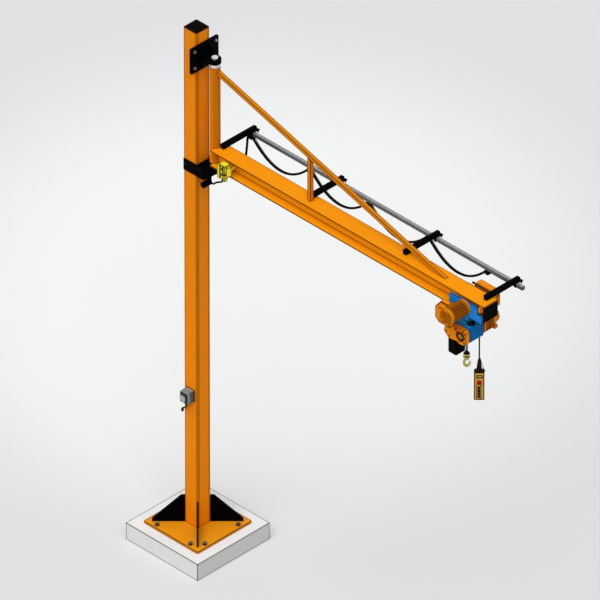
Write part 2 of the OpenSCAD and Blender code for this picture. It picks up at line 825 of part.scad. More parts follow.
module trolley_plates() {
  color(blue) for (s = [-1, 1]) difference() {
    along_y(s*(side_y + side_t/2) - side_t/2, s*(side_y + side_t/2) + side_t/2)
      side_outline(s < 0 ? hoist_x1 : hoist_x1 - 52, s < 0 ? 48 : 12);
    rod_y(hoist_x, shaft_z, shaft_d + 2*fit, s*side_y - 20, s*side_y + 20);
    for (x = [-wheel_x, wheel_x])
      rod_y(hoist_x + x, wheel_z, axle_d + 2*fit, s*side_y - axle_in, s*side_y + axle_in);
  }
}

module trolley_wheels() {
  color(steel) for (x = [-wheel_x, wheel_x]) {
    for (s = [-1, 1]) {
      ya = min(s*(beam_b/2 - 42), s*(beam_b/2 - 8));
      rod_y(hoist_x + x, wheel_z, wheel_d, ya, ya + 34);
      yb = min(s*(beam_b/2 - 10), s*(side_y + axle_in - fit));
      rod_y(hoist_x + x, wheel_z, axle_d, yb, yb + side_y + axle_in - fit - beam_b/2 + 10);
    }
  }
}

module hanger_shaft() {
  color(steel) rod_y(hoist_x, shaft_z, shaft_d, -side_out - 0.5, side_out - 0.5);
}

// ---- Travel drive ----

motor_x = hoist_x + 5;
motor_z = beam_high - 78;
motor_back = side_out;
fin_h = 8;

// A toothed ring of cooling ribs, seen along the motor's axis
module fin_ring(count) {
  circle(d = motor_d - 2*fin_h + 2);
  for (a = [0:360/count:359]) rotate(a) translate([motor_d/2 - fin_h, -3.5]) square([fin_h, 7]);
}

// Side view of the gearbox
module gearbox_outline(in) {
  x0 = motor_x - 234;
  polygon([
    [x0 + in, beam_high - 242 + in], [x0 + in, beam_high - 138 - in/2], [x0 + 62 + in/2, beam_high - 60 - in],
    [x0 + 140 - in, beam_high - 60 - in], [x0 + 158 - in, beam_high - 90],
    [x0 + 158 - in, beam_high - 276 + in], [x0 + 38 + in/2, beam_high - 276 + in]
  ]);
}

module travel_motor() {
  y0 = -motor_back - motor_l;
  cowl_l = 32;
  pitch = 17;
  color(paint) {
    rod_y(motor_x, motor_z, motor_d - 2*fin_h, y0 + 20, -motor_back);
    for (y = [y0 + cowl_l:pitch:-motor_back - 30])
      along_y(y, y + pitch - 5) translate([motor_x, motor_z]) fin_ring(26);
    rod_y(motor_x, motor_z, motor_d + 4, -motor_back - 16, -motor_back);
    rod_y(motor_x, motor_z, motor_d - 4, -motor_back - 24, -motor_back - 16);
    difference() {
      rod_y(motor_x, motor_z, motor_d + 4, y0, y0 + cowl_l);
      for (x = [-52:13:52], z = [-45:18:45])
        if (x*x + z*z < 62*62) translate([motor_x + x - 3.5, y0 - 1, motor_z + z - 6]) cube([7, 7, 12]);
    }
    rod_y(motor_x - 44, motor_z - 44, 50, y0 - 8, y0 + 8);
    rod_y(motor_x - 44, motor_z - 44, 28, y0 - 13, y0 - 8);
  }
}

module travel_gearbox() {
  front = -motor_back - 92;
  case_t = 46;
  color(paint) {
    along_y(front, front + case_t) gearbox_outline(0);
    translate([motor_x - 130, front + case_t - 1, motor_z - 79]) cube([52, -side_out - front - case_t + 1, 56]);
    along_y(front - 6, front) gearbox_outline(9);
    along_y(front - 12, front - 6) translate([motor_x - 164, motor_z - 70]) circle(d = 56);
  }
}

// ---- Hoist ----

module hoist_body() {
  color(blue) difference() {
    union() {
      translate([body_x0, -body_w/2, body_low]) cube([body_x1 - body_x0 - 6, body_w, body_h]);
      for (k = [0:4]) translate([body_x1 - 7, -body_w/2 + 4, body_low + 8 + 26*k]) cube([7, body_w - 8, 14]);
      translate([hoist_x - 20, 14, body_high - 1]) cube([40, 50, shaft_z - body_high + 1]);
      rod_y(hoist_x, shaft_z, 40, 14, 64);
    }
    rod_y(hoist_x, shaft_z, shaft_d + 2*fit, 0, 80);
    for (a = [0, 90]) translate([chain_x, 0, body_low - 1]) rotate([0, 0, a])
      translate([-link_in - chain_d - fit, -chain_d/2 - fit, 0])
        cube([2*(link_in + chain_d + fit), chain_d + 2*fit, body_h + 2]);
  }
  color(black) translate([hoist_x + 5, -23, body_high]) {
    cylinder(d = 66, h = 9);
    translate([0, 0, 9]) cylinder(d1 = 66, d2 = 56, h = 4);
  }
}

// Outline of the hoist's gear cover, seen from the side
module cover_outline() {
  translate([hoist_x, body_low]) polygon([
    [-193, 63], [-195, 31], [-181, 13], [-148, -14], [-105, -16], [-61, -4], [-34, -20], [15, -17],
    [42, 3], [42, 101], [15, 123], [-105, 121], [-160, 103]
  ]);
}

module gear_cover() {
  cap_x = hoist_x - 16;
  cap_z = body_low + 57;
  y0 = -body_w/2 - cover_t;
  color(paint) {
    difference() {
      along_y(y0, -body_w/2 - fit) cover_outline();
      rod_y(cap_x, cap_z, 88, y0 - 1, y0 + 9);
      rod_y(hoist_x + 17, body_low + 96, 30, y0 - 1, y0 + 5);
      translate([cap_x - 70, y0 - 1, cap_z + 46]) rotate([0, 25, 0]) cube([52, 5, 6]);
    }
    rod_y(cap_x, cap_z, 44, y0 + 1, y0 + 12);
    rod_y(cap_x, cap_z, 20, y0 - 3, y0 + 2);
    for (b = [[-172, 36], [-136, 6], [-36, -6], [26, 12], [30, 62], [-60, 108], [-126, 96]])
      rod_y(hoist_x + b[0], body_low + b[1], 12, y0 - 4, y0 + 1);
  }
}

// Outline of the hoist motor's square housing, seen from the side
module motor_outline(w, r) {
  translate([hoist_x - 36, body_low + 89]) round_box(w, w, r);
}

module hoist_motor() {
  y0 = body_w/2 + 8;
  color(paint) {
    difference() {
      along_y(y0, y0 + 104) motor_outline(168, 34);
      for (y = [22:14:92]) along_y(y0 + y, y0 + y + (y == 50 ? 6 : 3)) difference() {
        motor_outline(180, 10);
        motor_outline(158, 30);
      }
    }
    rod_y(hoist_x - 36, body_low + 89, 110, body_w/2, y0);
    rod_y(hoist_x - 36, body_low + 89, 166, y0 + 104, y0 + 150);
    along_y(y0 + 104, y0 + 179) translate([hoist_x - 36, body_low + 89]) circle(d = 150);
    translate([hoist_x + 4, y0 + 112, body_low + 2]) cube([46, 34, 30]);
  }
}

control_high = beam_high - 28;
control_y = side_out + 40;
control_t = 74;
// Depth of the control box's lower section
lower_d = 35;
tow_z = control_high - 72;

module control_box() {
  x0 = hoist_x - 118;
  lower_y = control_y + control_t;
  color(paint) {
    translate([x0, control_y, control_high - 212]) cube([171, control_t, 212]);
    translate([x0 + 93, lower_y, control_high - 175]) cube([78, lower_d, 115]);
    translate([hoist_x - 60, side_out, beam_high - 200]) cube([80, 41, 120]);
  }
  color(steel) {
    translate([x0 + 171, lower_y + 6, control_high - 175]) cube([5, lower_d - 6, 98]);
    translate([hoist_x + 40, lower_y + 18, body_low + 160])
      cylinder(d = 14, h = control_high - 174 - body_low - 160);
  }
}

// The rod along the control box, and the arm that pulls the towing trolley under the rail
module tow_arm() {
  rod_at = side_out + 28;
  bar_x1 = hoist_x + 53;
  bar_x0 = feed_x + 4*trolley_pitch + 24 + fit;
  box_out = control_y + control_t + lower_d;
  color(black) {
    rod_x(rod_at, control_high + 8, 10, hoist_x - 112, hoist_x + 50);
    rod_x(rod_at, control_high + 8, 18, hoist_x - 128, hoist_x - 112);
    translate([hoist_x - 104, rod_at - 9, control_high + fit]) cube([150, 36, 3.2]);
    translate([bar_x0, rail_y - 3, block_top - 8]) cube([bar_x1 - bar_x0, 6, 8]);
    translate([bar_x1 - 14, rail_y - 3, tow_z]) cube([14, 6, block_top - tow_z]);
    translate([bar_x1 - 14, box_out + fit, tow_z]) cube([14, rail_y + 3 - box_out - fit, 10]);
  }
}

module chain_container() {
  x0 = body_x0 - 64;
  high = body_low - fit;
  color(black) {
    difference() {
      translate([x0, -58, high - 217]) linear_extrude(217) translate([46, 54]) round_box(92, 108, 10);
      translate([x0 + 4, -54, high - 213]) linear_extrude(217) translate([42, 50]) round_box(84, 100, 7);
    }
    for (y = [-58, 46]) translate([body_x0 - 10 - fit, y, high - 30]) cube([10, 4, 62]);
  }
}

// ---- Pendant ----

module pendant_cable() {
  color(black) translate([pendant_x, pendant_y, pendant_high + boot_l])
    cylinder(d = pendant_cable_d, h = body_low - pendant_high - boot_l, $fn = 16);
}

// The housing's front faces between the beam's tip and its side, where the operator stands
module pendant() {
  body_b = 84;
  color(yellow) translate([pendant_x, pendant_y, pendant_low]) rotate([0, 0, 45]) {
    difference() {
      linear_extrude(pendant_l) round_box(body_b, pendant_t, 12);
      translate([-20, -pendant_t/2 - 1, pendant_l - 48]) cube([46, 4, 26]);
      translate([-19, -pendant_t/2 - 1, 10]) cube([34, 2.5, pendant_l - 118]);
    }
    translate([-16, -pendant_t/2 + 1.5, pendant_l - 44]) cube([38, 2, 18]);
    translate([0, 0, pendant_l]) linear_extrude(8) round_box(body_b - 12, pendant_t - 10, 8);
    translate([0, 0, pendant_l + 8]) cylinder(d1 = 46, d2 = 20, h = boot_l - 8);
    for (k = [0:6]) translate([0, 0, pendant_l + 14 + 14*k]) cylinder(d = 46 - 3.2*k, h = 5);
    translate([body_b/2 - 4, 0, pendant_l + 4]) rotate([90, 0, 0])
      rotate_extrude() translate([9, 0]) circle(d = 5, $fn = 12);
    tube([[body_b/2 - 5, 0, pendant_l + 14], [24, -3, pendant_l + 66], [14, -5, pendant_l + 104],
      [8, -5, pendant_l + 130]], 4, [0, 1, 0], 6);
  }
}

module pendant_buttons() {
  translate([pendant_x, pendant_y, pendant_low]) rotate([0, 0, 45]) rotate([90, 0, 0]) {
    color("red") {
      translate([0, pendant_l - 88, pendant_t/2 + fit]) cylinder(d = 30, h = 8);
      translate([0, pendant_l - 88, pendant_t/2 + fit + 8]) cylinder(d1 = 42, d2 = 36, h = 8);
    }
    color(black) for (k = [0:3]) translate([-2, 36 + 28*k, pendant_t/2 - 1]) cylinder(d = 22, h = 8);
  }
}

// ---- Load chain and hook ----

// A chain link standing upright; neighbours touch when link_l apart
module link() {
  bend_r = link_in + chain_d/2;
  bend_z = link_l/2 + fit/2 - link_in;
  for (t = [-1, 1]) translate([0, 0, t*bend_z]) rotate([90, 0, 0])
    rotate_extrude(angle = t*180) translate([bend_r, 0]) circle(d = chain_d, $fn = 16);
  for (s = [-1, 1]) translate([s*bend_r, 0, -bend_z]) cylinder(d = chain_d, h = 2*bend_z, $fn = 16);
}

// Height of the lowest link's middle
link_z0 = block_high + 2;

module load_chain() {
  count = floor((beam_low - 8 - link_l/2 - chain_d - link_z0)/link_l);
  color(steel) for (k = [0:count])
    translate([chain_x, 0, link_z0 + k*link_l]) rotate([0, 0, 90*(k % 2)]) link();
}

module hook_block() {
  pin_z = link_z0 - link_l/2 + chain_d/2;
  slot = chain_d + 2*fit;
  block_h = block_high - block_low;
  color(yellow) translate([chain_x, 0, 0]) {
    difference() {
      union() {
        translate([0, 0, block_low]) cylinder(d1 = 44, d2 = 54, h = 8);
        translate([0, 0, block_low + 8]) cylinder(d = 54, h = block_h - 24);
        translate([0, 0, block_high - 16]) cylinder(d1 = 54, d2 = 34, h = 16);
      }
      translate([0, 0, block_low - 1]) cylinder(d = 20 + 2*running, h = 30);
      translate([-14, -slot/2, block_high - 17]) cube([28, slot, 18]);
      translate([0, 0, block_low + 24]) rotate_extrude() translate([27, 0]) circle(d = 5, $fn = 12);
    }
    translate([0, -slot/2 - 1, pin_z]) rotate([-90, 0, 0]) cylinder(d = chain_d - fit, h = slot + 2);
    for (a = [45, 225]) rotate([0, 0, a]) translate([0, -25, block_low + 34])
      rotate([90, 0, 0]) cylinder(d = 12, h = 4);
  }
}

// The hook's middle line: distance from the chain's axis, height and thickness
hook_line = [
  [-0.3, 86, 19], [-1, 84, 19], [-5, 77, 20], [-12, 70, 20], [-18, 61, 20], [-21, 49, 20], [-20, 35, 22],
  [-12, 20, 25],
  [2, 13, 26], [15, 19, 23], [23, 31, 18], [27, 45, 13], [29, 54, 9]
];
latch_x = 14;
latch_z = hook_low + 75;

module load_hook() {
  pin_bore = 5.2;
  color(yellow) translate([chain_x, 0, 0]) rotate([0, 0, 45]) {
    translate([0, 0, hook_low + 80]) cylinder(d = 20, h = block_low + 26 - hook_low - 80);
    tube([for (p = hook_line) [p[0], 0, hook_low + p[1]]], [for (p = hook_line) p[2]], [0, 1, 0], 16);
    difference() {
      translate([4, -2.5, latch_z - 5]) cube([15, 5, 16]);
      rod_y(latch_x, latch_z, pin_bore, -4, 4);
    }
  }
}

module hook_latch() {
  color(steel) translate([chain_x, 0, 0]) rotate([0, 0, 45]) {
    rod_y(latch_x, latch_z, 5, -7, 7);
    for (s = [-1, 1]) along_y(s*4.5 - 1.2, s*4.5 + 1.2) translate([latch_x, latch_z]) polygon([
      [-4, 4], [4, 4], [5.5, -10], [7, -26], [4.5, -26], [-1, -8]
    ]);
    along_y(-5, 5) translate([latch_x, latch_z]) polygon([[3, -8], [5.5, -8], [7, -27], [4.5, -27]]);
  }
}

foundation_block();
base_plate();
anchor_bolts();
column();
column_cap();
gussets();
upper_mounting_plate();
upper_bracket();
upper_bolts();
upper_pin();
lower_bracket();
lower_pin();
lower_bearing();
swivel_gland();
isolator_box();
isolator_handle();
jib_mast();
upper_collar();
jib_beam();
beam_end_plate();
tie_bar();
tie_strut();
support_arms();
supply_rail();
travel_stops();
terminal_box();
feed_clamp();
feed_lead();
slew_cable();
festoon_cable();
festoon_wire();
cable_trolley_1();
cable_trolley_2();
cable_trolley_3();
towing_trolley();
trolley_plates();
trolley_wheels();
hanger_shaft();
travel_motor();
travel_gearbox();
hoist_body();
gear_cover();
hoist_motor();
control_box();
tow_arm();
chain_container();
pendant_cable();
pendant();
pendant_buttons();
load_chain();
hook_block();
load_hook();
hook_latch();
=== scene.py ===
"""Looks of a column jib crane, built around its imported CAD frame. Metres, +Z up."""

import json
import math

import bmesh
import bpy
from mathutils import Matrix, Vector


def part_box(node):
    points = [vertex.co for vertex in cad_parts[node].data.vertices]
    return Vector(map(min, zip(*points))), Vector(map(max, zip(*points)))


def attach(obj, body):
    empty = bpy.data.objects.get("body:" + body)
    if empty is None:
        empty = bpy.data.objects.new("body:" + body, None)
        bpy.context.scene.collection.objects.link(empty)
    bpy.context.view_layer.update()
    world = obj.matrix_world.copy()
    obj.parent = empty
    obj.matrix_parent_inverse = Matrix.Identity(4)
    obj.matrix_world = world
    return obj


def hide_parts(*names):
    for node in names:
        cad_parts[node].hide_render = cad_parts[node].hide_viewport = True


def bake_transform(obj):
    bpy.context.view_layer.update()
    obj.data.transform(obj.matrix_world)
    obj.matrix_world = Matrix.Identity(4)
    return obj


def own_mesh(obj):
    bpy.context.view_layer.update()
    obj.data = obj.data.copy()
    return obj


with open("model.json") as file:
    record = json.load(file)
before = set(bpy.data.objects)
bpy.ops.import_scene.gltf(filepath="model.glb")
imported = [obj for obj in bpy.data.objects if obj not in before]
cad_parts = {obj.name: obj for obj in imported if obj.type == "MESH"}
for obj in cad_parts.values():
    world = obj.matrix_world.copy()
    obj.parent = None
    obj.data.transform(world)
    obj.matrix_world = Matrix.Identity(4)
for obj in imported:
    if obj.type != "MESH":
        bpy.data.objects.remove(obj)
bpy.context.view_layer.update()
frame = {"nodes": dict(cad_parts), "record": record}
NODES = frame["nodes"]

# ---- Camera: an isometric view through a very long lens ----

# Width of the picture at the target in metres, lens and sensor in millimetres
FRAME_WIDTH = 4.794
LENS = 1600.0
SENSOR = 36.0
ELEVATION = math.asin(1 / math.sqrt(3))
TARGET = Vector((1.1628, 0.0048, 2.9421))


def make_camera():
    data = bpy.data.cameras.new("camera")
    data.lens = LENS
    data.sensor_width = SENSOR
    distance = FRAME_WIDTH * LENS / SENSOR
    data.clip_start = 1.0
    data.clip_end = 4 * distance
    camera = bpy.data.objects.new("camera", data)
    back = Vector((1, -1, 0)).normalized() * math.cos(ELEVATION) + Vector((0, 0, math.sin(ELEVATION)))
    camera.location = TARGET + back * distance
    camera.rotation_mode = "QUATERNION"
    camera.rotation_quaternion = (-back).to_track_quat("-Z", "Y")
    bpy.context.scene.collection.objects.link(camera)
    bpy.context.scene.camera = camera


make_camera()

# ---- Materials ----


class Graph:
    """A short way to write the node graph of a new material, or of the world."""

    def __init__(self, owner):
        self.owner = owner
        owner.use_nodes = True
        self.tree = owner.node_tree
        self.shader = self.tree.nodes.get("Principled BSDF")

    def node(self, kind, inputs=(), **settings):
        made = self.tree.nodes.new("ShaderNode" + kind)
        for key, value in settings.items():
            setattr(made, key, value)
        for key, value in dict(inputs).items():
            if isinstance(value, bpy.types.NodeSocket):
                self.tree.links.new(value, made.inputs[key])
            else:
                made.inputs[key].default_value = value
        return made

    def place(self):
        return self.node("TexCoord").outputs["Object"]

    def math(self, operation, *values):
        return self.node("Math", dict(enumerate(values)), operation=operation).outputs[0]

    def coordinate(self, axis):
        return self.node("SeparateXYZ", {0: self.place()}).outputs[axis]

    def facing(self, axis):
        """The surface normal's share along an axis of the object."""
        normal = self.node("TexCoord").outputs["Normal"]
        return self.node("SeparateXYZ", {0: normal}).outputs[axis]

    def along(self, way):
        """How far along a direction a place is."""
        return self.node("VectorMath", {0: self.place(), 1: way}, operation="DOT_PRODUCT").outputs["Value"]

    def distance(self, point, keep=(1, 1, 1)):
        """Distance from a point, or from the line or plane through it that the zeros in keep leave free."""
        away = self.node("VectorMath", {0: self.place(), 1: point}, operation="SUBTRACT").outputs[0]
        flat = self.node("VectorMath", {0: away, 1: keep}, operation="MULTIPLY").outputs[0]
        return self.node("VectorMath", {0: flat}, operation="LENGTH").outputs["Value"]

    def noise(self, scale, detail=3.0, rough=0.55):
        settings = {"Vector": self.place(), "Scale": scale, "Detail": detail, "Roughness": rough}
        return self.node("TexNoise", settings).outputs["Fac"]

    def ramp(self, value, low, high, out_low=0.0, out_high=1.0):
        made = self.node(
            "MapRange",
            {"Value": value, "From Min": low, "From Max": high, "To Min": out_low, "To Max": out_high},
            interpolation_type="SMOOTHSTEP",
        )
        return made.outputs["Result"]

    def above(self, value, limit, soft=0.0004):
        return self.ramp(value, limit - soft, limit + soft)

    def below(self, value, limit, soft=0.0004):
        return self.ramp(value, limit - soft, limit + soft, 1.0, 0.0)

    def both(self, *shares):
        out = shares[0]
        for share in shares[1:]:
            out = self.math("MULTIPLY", out, share)
        return out

    def either(self, *shares):
        out = shares[0]
        for share in shares[1:]:
            out = self.math("MAXIMUM", out, share)
        return out

    def mix(self, share, a, b):
        made = self.node("Mix", data_type="RGBA")
        for socket, value in ((made.inputs[0], share), (made.inputs[6], a), (made.inputs[7], b)):
            if isinstance(value, bpy.types.NodeSocket):
                self.tree.links.new(value, socket)
            else:
                socket.default_value = value if isinstance(value, float) else (*value[:3], 1)
        return made.outputs[2]

    def bump(self, height, distance, strength=1.0):
        made = self.node("Bump", {"Height": height, "Distance": distance, "Strength": strength})
        self.tree.links.new(made.outputs["Normal"], self.shader.inputs["Normal"])

    def set(self, **values):
        for key, value in values.items():
            socket = self.shader.inputs[key.replace("_", " ")]
            if isinstance(value, bpy.types.NodeSocket):
                self.tree.links.new(value, socket)
            else:
                socket.default_value = value if isinstance(value, (int, float)) else (*value[:3], 1)


def shade(colour, factor):
    """The colour made darker or lighter."""
    return tuple(c * factor for c in colour)


def marked(g, body, marks):
    """Other colours on parts of a surface: each mark is a function that gives a share, and a colour."""
    for where, colour in marks:
        body = g.mix(where(g), body, colour)
    return body


def paint(name, colour, rough=0.4, tone=0.04, peel=0.00005, marks=(), sheen=0.03):
    """Sprayed paint: faint tone drift, dust and orange peel."""
    g = Graph(bpy.data.materials.new(name))
    drift = g.ramp(g.noise(2.2), 0.3, 0.7)
    body = g.mix(drift, shade(colour, 1 - tone), shade(colour, 1 + tone / 2))
    dust = g.ramp(g.noise(38, 5, 0.7), 0.66, 0.82, 0.0, 0.25)
    body = g.mix(dust, body, shade(colour, 0.86))
    body = marked(g, body, marks)
    g.set(Base_Color=body, Metallic=0.0, Specular_IOR_Level=sheen)
    g.set(Roughness=g.ramp(g.noise(14), 0.3, 0.7, rough - 0.05, rough + 0.07))
    g.bump(g.noise(420, 2), peel)
    return g.owner


def metal(name, colour, rough=0.32, stretch=(40, 40, 900), metallic=0.6, marks=()):
    """Brushed or machined steel."""
    g = Graph(bpy.data.materials.new(name))
    mapping = g.node("Mapping", {"Vector": g.place(), "Scale": stretch})
    grain = g.node("TexNoise", {"Vector": mapping.outputs[0], "Scale": 1.0, "Detail": 4.0}).outputs["Fac"]
    body = g.mix(g.ramp(grain, 0.3, 0.7), shade(colour, 0.86), shade(colour, 1.06))
    body = marked(g, body, marks)
    g.set(Base_Color=body, Metallic=metallic)
    g.set(Roughness=g.ramp(grain, 0.3, 0.7, rough - 0.06, rough + 0.1))
    g.bump(grain, 0.00005, 0.5)
    return g.owner


def moulded(name, colour, rough=0.5, grain=0.00008, scale=700, marks=(), sheen=0.25):
    """Moulded plastic with a fine texture."""
    g = Graph(bpy.data.materials.new(name))
    spots = g.ramp(g.noise(7), 0.3, 0.7)
    body = g.mix(spots, shade(colour, 0.88), shade(colour, 1.12))
    body = marked(g, body, marks)
    g.set(Base_Color=body, Roughness=rough, Specular_IOR_Level=sheen)
    g.bump(g.noise(scale, 2), grain)
    return g.owner


def cast_concrete(name, colour):
    """Smooth cast concrete with faint blotches, small pores and painted shade on its +X side."""
    g = Graph(bpy.data.materials.new(name))
    blotch = g.ramp(g.noise(5, 5), 0.3, 0.7)
    pores = g.node("TexVoronoi", {"Vector": g.place(), "Scale": 120.0}).outputs["Distance"]
    pits = g.ramp(pores, 0.05, 0.16, 1.0, 0.0)
    body = g.mix(blotch, shade(colour, 0.975), shade(colour, 1.01))
    body = g.mix(g.ramp(g.noise(60, 3), 0.62, 0.75, 0.0, 0.2), body, shade(colour, 0.9))
    # Painted shade: the faces towards +X get a darker grey
    body = g.mix(g.above(g.facing("X"), 0.7, 0.1), body, shade(colour, 0.81))
    g.set(Base_Color=body, Roughness=0.85, Specular_IOR_Level=0.1)
    g.bump(g.mix(0.5, pits, g.noise(160, 4)), 0.0005, 0.5)
    return g.owner


ORANGE = (0.955, 0.270, 0.002)
# DEEP: a near black, used for painted shade inside the fan cowl's holes and for the hook block's groove
DEEP = (0.008, 0.006, 0.005)
BLACK = (0.001, 0.001, 0.0012)
BLUE = (0.003, 0.245, 0.80)

# ---- Marks: each gives the share of another colour, placed from the imported pieces; some are two-tone paint, some painted light or shade ----

# How far a surface has to face a way to count, and how softly that sets in
SIDE_ON = 0.5
UP = 0.7
SOFT_TURN = 0.1


def middle_of(node):
    """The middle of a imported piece's box."""
    low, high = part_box(node)
    return (low + high) / 2


def upward(g):
    return g.above(g.facing("Z"), UP, SOFT_TURN)


# The column's corners: how wide they are across each face, their soft edge, and the bare rim at the top
CORNER_ON_X = 0.0178
CORNER_ON_Y = 0.0250
CORNER_SOFT = 0.0012
BARE_RIM = 0.0015


def corners(g):
    """The column's rounded corners, up to its open end."""
    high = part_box("column")[1]
    starts = (("X", high.x - CORNER_ON_X), ("Y", high.y - CORNER_ON_Y))
    shares = [g.above(g.math("ABSOLUTE", g.coordinate(axis)), start, CORNER_SOFT) for axis, start in starts]
    return g.both(*shares, g.below(g.coordinate("Z"), high.z - BARE_RIM))


# Where the painted shade on the mast's right starts and is full, by the surface's facing X plus facing Y
TURN_STARTS = -1.3
TURN_ENDS = -0.2


def mast_shaded_side(g):
    """Painted shade on the mast's surface as it turns away to the right."""
    return g.ramp(g.math("ADD", g.facing("X"), g.facing("Y")), TURN_STARTS, TURN_ENDS)


# The beam: the light edge of its top flange, and the shadow line's reach from the web and its height
FLANGE_EDGE = 0.004
ROOT_REACH = 0.012
ROOT_LOW = 0.0085
ROOT_HIGH = 0.022


def painted_light_under_flange(g):
    """Painted light: all of the beam but its top face and that face's edge, made lighter and yellower than the
    top against the shade and bounce light there.
    """
    return g.below(g.coordinate("Z"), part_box("jib_beam")[1].z - FLANGE_EDGE)


def web_root(g):
    """A shadow line where the beam's web meets its lower flange."""
    z = g.coordinate("Z")
    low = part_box("jib_beam")[0].z
    near = g.below(g.math("ABSOLUTE", g.coordinate("Y")), ROOT_REACH)
    return g.both(near, g.above(z, low + ROOT_LOW), g.below(z, low + ROOT_HIGH))


# The travel motor's lengths from its fan end, its flange's from the other end, and two radii
STUD = 0.013
COWL = 0.0305
GRILLE_SKIN = 0.0013
GRILLE_DEPTH = 0.009
MOTOR_FLANGE = 0.026
FIN_ROOT_R = 0.0605
GRILLE_R = 0.067


def fin_gap_shade(g):
    """Painted shade in the channels between the motor's cooling fins."""
    low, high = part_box("travel_motor")
    deep = g.below(g.distance(middle_of("travel_motor"), (1, 0, 1)), FIN_ROOT_R)
    y = g.coordinate("Y")
    return g.both(deep, g.above(y, low.y + STUD + COWL), g.below(y, high.y - MOTOR_FLANGE))


def grille_hole_shade(g):
    """Painted shade inside the holes in the fan cowl."""
    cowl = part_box("travel_motor")[0].y + STUD
    within = g.below(g.distance(middle_of("travel_motor"), (1, 0, 1)), GRILLE_R)
    y = g.coordinate("Y")
    return g.both(within, g.above(y, cowl + GRILLE_SKIN), g.below(y, cowl + GRILLE_DEPTH))


# The hoist's round cap and its gear cover's boss, from the hanger shaft and the body's underside
SHAFT_X = middle_of("hanger_shaft").x
BODY_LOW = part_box("hoist_body")[0].z
BOSS_AT = (SHAFT_X - 0.016, 0.0, BODY_LOW + 0.057)
BOSS_R = 0.0222
RECESS_R = 0.0442
BOSS_DEPTH = 0.017
RECESS_DEPTH = 0.0047
CAP_AT = (SHAFT_X + 0.005, -0.023, 0.0)
CAP_LOW = BODY_LOW + 0.1403
CAP_R = 0.036


def cover_recess_shade(g):
    """Painted shade in the ring-shaped recess in the gear cover."""
    turn = g.distance(BOSS_AT, (1, 0, 1))
    floor = g.above(g.coordinate("Y"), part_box("gear_cover")[0].y + RECESS_DEPTH)
    return g.both(g.below(turn, RECESS_R), g.above(turn, BOSS_R), floor)


def cover_boss_lit(g):
    """Painted light on the round boss in the middle of that recess."""
    front = g.below(g.coordinate("Y"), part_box("gear_cover")[0].y + BOSS_DEPTH)
    return g.both(g.below(g.distance(BOSS_AT, (1, 0, 1)), BOSS_R), front)


def hoist_cap(g):
    """The black cap on the hoist's top."""
    return g.both(g.above(g.coordinate("Z"), CAP_LOW), g.below(g.distance(CAP_AT, (1, 1, 0)), CAP_R))


# The pendant: its shell's height, and its dark rim's place and height; the stop button's height
PENDANT_SHELL = 0.260
DIAGONAL = (0.7071, 0.7071, 0)
RIM_SHIFT = 0.0005
RIM_AWAY = 0.0325
RIM_H = 0.007
STOP_BUTTON_H = 0.054


def boot(g):
    """The pendant's rubber boot and top."""
    return g.above(g.coordinate("Z"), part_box("pendant")[0].z + PENDANT_SHELL)


def shell_rim(g):
    """The dark rim down both sides of the pendant's shell, and along its bottom."""
    middle = Vector(DIAGONAL).dot(middle_of("pendant_buttons")) - RIM_SHIFT
    side = g.math("ABSOLUTE", g.math("SUBTRACT", g.along(DIAGONAL), middle))
    return g.either(g.above(side, RIM_AWAY), g.below(g.coordinate("Z"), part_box("pendant")[0].z + RIM_H))


def stop_button(g):
    """The stop button, above the row of black ones."""
    return g.above(g.coordinate("Z"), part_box("pendant_buttons")[1].z - STOP_BUTTON_H)


# The switch's housing: its height, and depths from its front or, for the back plate, from its back
HOUSING_H = 0.1055
COVER_DEPTH = 0.0205
GROOVE_DEPTH = 0.0260
BACK_PLATE = 0.0170
LEVER_DEPTH = 0.0125
RIB_PITCH = 0.01904


def rib_light_bands(g):
    """Painted light and shade of the housing's moulded ribs: light bands across its top face, between dark
    ones.
    """
    wave = g.math("SINE", g.math("MULTIPLY", g.coordinate("Y"), math.tau / RIB_PITCH))
    return g.both(upward(g), g.above(wave, 0.1, 0.3))


def inlet(g):
    """The cable inlet below the housing, with its cable."""
    return g.below(g.coordinate("Z"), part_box("isolator_box")[1].z - HOUSING_H)


def back_plate(g):
    return g.above(g.coordinate("Y"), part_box("isolator_box")[1].y - BACK_PLATE)


def side_groove(g):
    """The groove behind the housing's cover, on its +X side."""
    y = g.coordinate("Y")
    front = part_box("isolator_box")[0].y
    side = g.above(g.facing("X"), SIDE_ON, SOFT_TURN)
    return g.both(g.below(y, front + GROOVE_DEPTH), g.above(y, front + COVER_DEPTH), side)


def cover_side(g):
    near = g.below(g.coordinate("Y"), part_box("isolator_box")[0].y + COVER_DEPTH)
    return g.both(near, g.above(g.facing("X"), SIDE_ON, SOFT_TURN))


def cover_front(g):
    return g.below(g.facing("Y"), -SIDE_ON, SOFT_TURN)


def lever_highlight(g):
    """Painted highlight: the switch's lever, in front of its round knob, made light grey."""
    return g.below(g.coordinate("Y"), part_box("isolator_handle")[0].y + LEVER_DEPTH)


# The hook block: its dark top's height, and its groove's height above its underside and half width
BLOCK_TOP_H = 0.015
BLOCK_GROOVE_UP = 0.024
BLOCK_GROOVE_HALF = 0.004


def block_top(g):
    return g.above(g.coordinate("Z"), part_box("hook_block")[1].z - BLOCK_TOP_H)


def block_groove(g):
    """The groove round the hook block."""
    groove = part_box("hook_block")[0].z + BLOCK_GROOVE_UP
    away = g.math("ABSOLUTE", g.math("SUBTRACT", g.coordinate("Z"), groove))
    return g.below(away, BLOCK_GROOVE_HALF)


# The tow arm's strip: how far it reaches from the arm's near side, and from the control box's top
STRIP_REACH = 0.051
STRIP_BELOW = 0.002
STRIP_ABOVE = 0.0038


